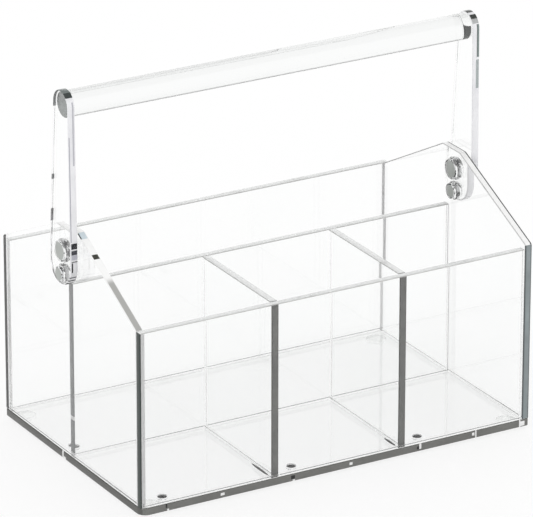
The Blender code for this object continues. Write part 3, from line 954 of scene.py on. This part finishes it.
class CADDY_OT_ends(Operator):
    """Make the two peaked end walls, bored for the pins"""

    bl_idname = "caddy.ends"
    bl_label = "End walls"

    shoulder: metres("Shoulder height", 0.1147)
    flat: metres("Peak flat", 0.0190)
    shoulder_round: metres("Shoulder round", 0.0022)
    peak_round: metres("Peak round", 0.0020)
    right_border: factor("Right front edge border", 0.35)
    inner_line: factor("Inner corner, times the outer line's colour", 6.0)
    # Painted shade: the left end wall's rear edge is darker than the right one's front edge
    left_painted_shade: factor("Left rear edge depth", 0.25)
    fade_start: metres("Grey until", -0.0455)
    fade_end: metres("Pale from", -0.0405)

    def execute(self, context):
        shared = sheet_materials()
        top_of_wall = node_box("front_panel")[1][2]
        for side, sign in (("left", -1), ("right", 1)):
            node = side + "_end_panel"
            low, high = node_box(node)
            reach = max(abs(low[1]), abs(high[1]))
            covered = min(abs(low[1]), abs(high[1]))
            corners = [
                (-covered, low[2]),
                (reach, low[2]),
                (reach, self.shoulder),
                (self.flat / 2, high[2]),
                (-self.flat / 2, high[2]),
                (-covered, top_of_wall),
            ]
            radii = [0, 0, self.shoulder_round, self.peak_round, self.peak_round, 0]
            outline = rounded_corners(corners, radii, END_CORNER_STEPS)
            if sign > 0:
                outline = (outline * [-1, 1])[::-1]
            settings = context.scene.caddy_sheet
            pale = settings.slope_colour
            slope, corner, edge = (node + ending for ending in ("_slope", "_corner", "_cut_end"))
            if sign < 0:
                dark = [self.left_painted_shade * c for c in settings.cut_colour]
                cut = cut_for(edge, node, "x", dark, see_in=False)
                # Painted shade: the left slope is grey in its lower front part and pale above
                fade = ("Y", self.fade_start, self.fade_end)
                shade = settings.slope_shade
                worn_and_shaded = rim_material(slope, pale, shade, POLISHED, 0.0, fade, LEFT_SLOPE_PAINTED_SHADE, spots=0.05)
                faded = [0.8 * c for c in pale]
                line = rim_material(corner, pale, faded, POLISHED, 0.05, None, LEFT_SLOPE_CORNER_PAINTED_SHADE)
            else:
                cut = cut_for(edge, node, "x", settings.end_edge_colour, see_in=False, border=self.right_border)
                worn_and_shaded = rim_material(slope, pale, pale, POLISHED, 0.05, patches=RIGHT_SLOPE_PAINTED_SHADE)
                # Painted shade: a dark line along the right slope's outer corner, lighter along the inner one
                across = ("X", high[0] - settings.arris, low[0] + settings.arris)
                inner = [self.inner_line * c for c in settings.line_colour]
                line = rim_material(corner, inner, settings.line_colour, SOFT, 0.0, across)

            def finish(outward, sign=sign):
                if abs(outward[0]) > NEARLY_ALL:
                    return CUT_END if outward[0] * -sign > 0 else CEMENTED
                return RIM if outward[1] > RISING else BONDED

            materials = in_slots(shared, cut, worn_and_shaded, shared[2], line)
            sheet_piece(side + "_end_wall", node, "x", outline, finish, materials, pin_holes(side))
        return {"FINISHED"}


def pin_holes(side):
    """Centres and radii, in (y, z), of the two bores on one side, from the pins in them."""
    holes = []
    for level in ("upper", "lower"):
        low, high = node_box("%s_%s_pin" % (side, level))
        holes.append((((low + high) / 2)[1:], (high[2] - low[2]) / 2 + PIN_CLEARANCE))
    return holes


class CADDY_OT_arms(Operator):
    """Make the two handle arms, each two rounds joined by their tangents"""

    bl_idname = "caddy.arms"
    bl_label = "Handle arms"

    top_radius: metres("Top radius", 0.0086)
    foot_radius: metres("Foot radius", 0.0126)
    foot_y: metres("Foot middle", -0.0006)

    def execute(self, context):
        shared = sheet_materials()
        rod_low, rod_high = node_box("handle_rod")
        for side in ("left", "right"):
            node = side + "_handle_arm"
            low = node_box(node)[0]
            top = np.array([(rod_low[1] + rod_high[1]) / 2, (rod_low[2] + rod_high[2]) / 2])
            foot = np.array([self.foot_y, low[2] + self.foot_radius])
            span = top - foot
            lean = math.atan2(span[1], span[0])
            spread = math.acos((self.foot_radius - self.top_radius) / float(np.linalg.norm(span)))
            upper = lean + np.linspace(-spread, spread, ARM_STEPS)
            lower = lean + np.linspace(spread, 2 * math.pi - spread, ARM_STEPS)
            rounds = ((top, self.top_radius, upper), (foot, self.foot_radius, lower))
            outline = np.concatenate([arc(*values) for values in rounds])
            cut = cut_for(node + "_cut_end", node, "x")
            h = context.scene.caddy_handle
            # The arm's edge carries painted reflections and painted shade
            painted_reflections = LEFT_ARM_PAINTED_REFLECTIONS if side == "left" else RIGHT_ARM_PAINTED_REFLECTIONS
            pale, shade = h.arm_rim_colour, h.arm_rim_shade
            painted_rim = rim_material(node + "_rim", pale, shade, 0.1, 0.05, patches=painted_reflections, see_in=True)
            materials = in_slots(shared, cut, painted_rim, shared[2], painted_rim)
            sheet_piece(side + "_arm", node, "x", outline, lambda outward: RIM, materials, pin_holes(side))
        return {"FINISHED"}


class CADDY_OT_rod(Operator):
    """Make the round carry rod"""

    bl_idname = "caddy.rod"
    bl_label = "Carry rod"

    ease: metres("Rod end chamfer", 0.0003)

    def execute(self, context):
        h = context.scene.caddy_handle
        s = context.scene.caddy_sheet
        radius, length = bar_size("handle_rod")
        inner = radius - self.ease
        start = [(0, 0), (inner, 0), (radius, self.ease)]
        profile = start + [(radius, length - self.ease), (inner, length), (0, length)]
        points, faces = turned_solid(profile, h.rod_facets)
        points = along_x(points, "handle_rod")
        material = clear_material("grip_acrylic", h.rod_tint, h.rod_tint, s.refraction, 30.0, 0.0, 0.02)
        end = end_material("rod_end", h.rod_end_colour)
        # The right end carries painted shade in its low part and is clear elsewhere
        shaded_end = end_material("rod_end_cleared", h.rod_end_colour, RIGHT_ROD_END_PAINTED_SHADE)
        slots = end_slots(faces, h.rod_facets, 2)
        piece_from_mesh("rod", points, faces, [material, end, shaded_end], slots, None, ["handle_rod"])
        return {"FINISHED"}


class CADDY_OT_pins(Operator):
    """Make the four pins, and give the ring round each one the pins' finish"""

    bl_idname = "caddy.pins"
    bl_label = "Pins and rings"

    ease: metres("Pin end round", 0.0005)

    def execute(self, context):
        h = context.scene.caddy_handle
        end = end_material("pin_end", h.pin_end_colour)
        painted_swirls = painted_swirl_material("pin_side", h.pin_painted_light, h.pin_painted_shadow)
        for side in ("left", "right"):
            for level in ("upper", "lower"):
                node = "%s_%s_pin" % (side, level)
                radius, length = bar_size(node)
                turn = np.linspace(0, math.pi / 2, PIN_EASE_POINTS)
                start = np.stack([radius - self.ease * (1 - np.sin(turn)), self.ease * (1 - np.cos(turn))], axis=1)
                finish = start[::-1] * [1, -1] + [0, length]
                profile = [(0, 0)] + start.tolist() + finish.tolist() + [(0, length)]
                points, faces = turned_solid(profile, h.pin_facets)
                points = along_x(points, node)
                slots = end_slots(faces, h.pin_facets)
                name = "%s_%s_peg" % (side, level)
                piece_from_mesh(name, points, faces, [painted_swirls, end], slots, None, [node])
                dress_node("%s_%s_spacer" % (side, level), painted_swirls)
        return {"FINISHED"}


class CADDY_OT_feet(Operator):
    """Give the four bumpers a soft clear finish"""

    bl_idname = "caddy.feet"
    bl_label = "Feet"

    def execute(self, context):
        s = context.scene.caddy_sheet
        material = clear_material("soft_bumper", BUMPER_TINT, BUMPER_HAZE, s.refraction, 90.0, 0.15, 0.35)
        for place in ("front_left", "front_right", "rear_left", "rear_right"):
            dress_node("foot_" + place, material)
        return {"FINISHED"}


def floor_material(settings):
    """A pale floor that the camera, gloss and clear pieces see whiter than the light makes it.

    The share floor_glow of its brightness is its own, and the rest is the light that
    falls on it, so the shadow stays and is soft.
    """
    values = {"Base Color": (*settings.floor_colour, 1.0), "Roughness": 1.0, "Specular IOR Level": 0.0}
    material, graph, shader = new_material("plain_floor", values)
    ray = graph.add("ShaderNodeLightPath").outputs
    seen = graph.maths("MAXIMUM", ray["Is Camera Ray"], ray["Is Glossy Ray"])
    seen = graph.maths("MAXIMUM", seen, ray["Is Transmission Ray"])
    share = graph.maths("MULTIPLY", seen, settings.floor_glow)
    glow = graph.add("ShaderNodeEmission")
    graph.show(share, shader.outputs["BSDF"], glow.outputs["Emission"])
    return material


def light_the_studio(tree, settings):
    """Even light on every surface, with a dim ceiling that only clear pieces show.

    The height of a direction is its Z. The ceiling fades in between ceiling_start and
    ceiling_end, where its brightness is ceiling_strength. Light that has been
    scattered once by the floor or by an edge meets the even light.
    """
    graph = Graph(tree)
    background = tree.nodes["Background"]
    background.inputs["Color"].default_value = (1.0, 1.0, 1.0, 1.0)
    height = graph.part(graph.add("ShaderNodeTexCoord").outputs["Generated"], "Z")
    fade = (settings.ceiling_start, settings.ceiling_end, settings.sky_strength, settings.ceiling_strength)
    ceiling = graph.rescale(height, *fade, smooth=True)
    ray = graph.add("ShaderNodeLightPath").outputs
    clear_or_gloss = graph.maths("MAXIMUM", ray["Is Transmission Ray"], ray["Is Glossy Ray"])
    unscattered = graph.maths("LESS_THAN", ray["Diffuse Depth"], 0.5)
    mix = graph.add("ShaderNodeMix", data_type="FLOAT")
    mix.inputs["A"].default_value = settings.sky_strength
    graph.join(graph.maths("MULTIPLY", clear_or_gloss, unscattered), mix.inputs["Factor"])
    graph.join(ceiling, mix.inputs["B"])
    graph.join(mix.outputs["Result"], background.inputs["Strength"])


class CADDY_OT_stage(Operator):
    """Lay the floor, light the studio and set up the camera"""

    bl_idname = "caddy.stage"
    bl_label = "Studio"

    def execute(self, context):
        settings = context.scene.caddy_stage
        half = settings.floor_size / 2
        mesh = bpy.data.meshes.new("floor")
        mesh.from_pydata([(-half, -half, 0), (half, -half, 0), (half, half, 0), (-half, half, 0)], [], [(0, 1, 2, 3)])
        floor = bpy.data.objects.new("floor", mesh)
        context.scene.collection.objects.link(floor)
        mesh.materials.append(floor_material(settings))

        world = bpy.data.worlds.new("studio")
        context.scene.world = world
        world.use_nodes = True
        light_the_studio(world.node_tree, settings)

        azimuth, elevation, roll = settings.azimuth, settings.elevation, settings.roll
        forward = np.array(
            [
                math.sin(azimuth) * math.cos(elevation),
                math.cos(azimuth) * math.cos(elevation),
                -math.sin(elevation),
            ]
        )
        level = np.array([math.cos(azimuth), -math.sin(azimuth), 0.0])
        upright = np.cross(level, forward)
        right = math.cos(roll) * level + math.sin(roll) * upright
        up = -math.sin(roll) * level + math.cos(roll) * upright
        camera = bpy.data.objects.new("camera", bpy.data.cameras.new("camera"))
        context.scene.collection.objects.link(camera)
        turned = np.stack([right, up, -forward], axis=1)
        camera.matrix_world = Matrix.Translation(settings.place) @ Matrix(turned.tolist()).to_4x4()
        camera.data.sensor_fit = "HORIZONTAL"
        camera.data.sensor_width = 36.0
        camera.data.lens = settings.lens
        camera.data.clip_end = 100.0
        context.scene.camera = camera
        context.scene.view_settings.view_transform = "Standard"
        context.scene.cycles.max_bounces = settings.light_bounces
        context.scene.cycles.transmission_bounces = settings.light_bounces
        context.scene.cycles.glossy_bounces = settings.light_bounces
        return {"FINISHED"}


STEPS = (
    CADDY_OT_base,
    CADDY_OT_walls,
    CADDY_OT_dividers,
    CADDY_OT_ends,
    CADDY_OT_arms,
    CADDY_OT_rod,
    CADDY_OT_pins,
    CADDY_OT_feet,
    CADDY_OT_stage,
)


class CADDY_PT_panel(Panel):
    """Lists the settings and the steps"""

    bl_label = "Flatware caddy"
    bl_idname = "CADDY_PT_panel"
    bl_space_type = "VIEW_3D"
    bl_region_type = "UI"
    bl_category = "Caddy"

    def draw(self, context):
        layout = self.layout
        for settings in (context.scene.caddy_sheet, context.scene.caddy_handle, context.scene.caddy_stage):
            box = layout.box()
            for name in settings.__annotations__:
                box.prop(settings, name)
        for step in STEPS:
            layout.operator(step.bl_idname)


SETTINGS = {
    "caddy_sheet": CaddySheetSettings,
    "caddy_handle": CaddyHandleSettings,
    "caddy_stage": CaddyStageSettings,
}


def register():
    """Register the settings, the steps and the panel."""
    for name, group in SETTINGS.items():
        bpy.utils.register_class(group)
        setattr(bpy.types.Scene, name, PointerProperty(type=group))
    for step in STEPS:
        bpy.utils.register_class(step)
    bpy.utils.register_class(CADDY_PT_panel)


def unregister():
    """Take everything out again."""
    bpy.utils.unregister_class(CADDY_PT_panel)
    for step in reversed(STEPS):
        bpy.utils.unregister_class(step)
    for name, group in SETTINGS.items():
        delattr(bpy.types.Scene, name)
        bpy.utils.unregister_class(group)


def main():
    """Run every step in order."""
    register()
    bpy.ops.caddy.base()
    bpy.ops.caddy.walls()
    bpy.ops.caddy.dividers()
    bpy.ops.caddy.ends()
    bpy.ops.caddy.arms()
    bpy.ops.caddy.rod()
    bpy.ops.caddy.pins()
    bpy.ops.caddy.feet()
    bpy.ops.caddy.stage()


if __name__ == "__main__":
    main()
